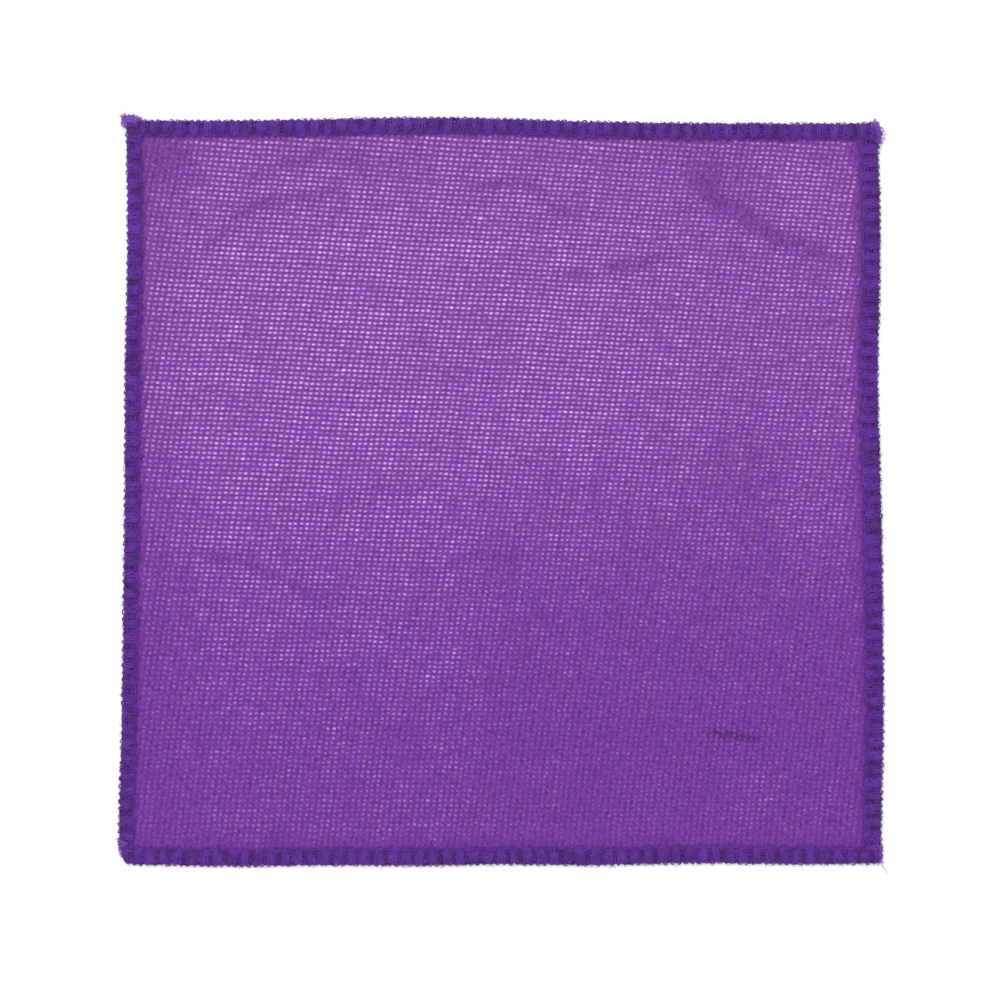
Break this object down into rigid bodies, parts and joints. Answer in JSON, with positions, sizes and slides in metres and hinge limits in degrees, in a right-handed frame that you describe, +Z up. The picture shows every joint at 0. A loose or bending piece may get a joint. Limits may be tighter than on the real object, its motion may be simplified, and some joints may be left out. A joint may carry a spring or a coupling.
{
  "type": "quick dry towel",
  "caption": "Square open-knit microfibre towel lying flat, its raw edges bound with overlock thread that ends in short trimmed tails at the corners.",
  "frame": {"origin": "under the middle of the towel, on the surface that it lies on", "axes": "+Z up out of the towel's face, +X to the right along the front edge, +Y towards the back edge"},
  "size_m": [0.2536, 0.2475, 0.0031],
  "materials": {
    "cloth": "matt open microfibre knit, reddish purple",
    "looper_thread": "bulked polyester overlock thread, blue violet",
    "needle_thread": "fine spun polyester thread, dark violet",
    "chain_tail": "fluffed ends of the overlock threads, light violet"
  },
  "bodies": {
    "root": {"fabric_panel": "cloth", "upper_looper_thread_front": "looper_thread", "upper_looper_thread_right": "looper_thread", "upper_looper_thread_back": "looper_thread", "upper_looper_thread_left": "looper_thread", "lower_looper_thread_front": "looper_thread", "lower_looper_thread_right": "looper_thread", "lower_looper_thread_back": "looper_thread", "lower_looper_thread_left": "looper_thread", "needle_thread_front": "needle_thread", "needle_thread_right": "needle_thread", "needle_thread_back": "needle_thread", "needle_thread_left": "needle_thread", "chain_tail_front_left": "chain_tail", "chain_tail_front_right": "chain_tail", "chain_tail_back_right": "chain_tail", "chain_tail_back_left": "chain_tail"}
  },
  "joints": []
}
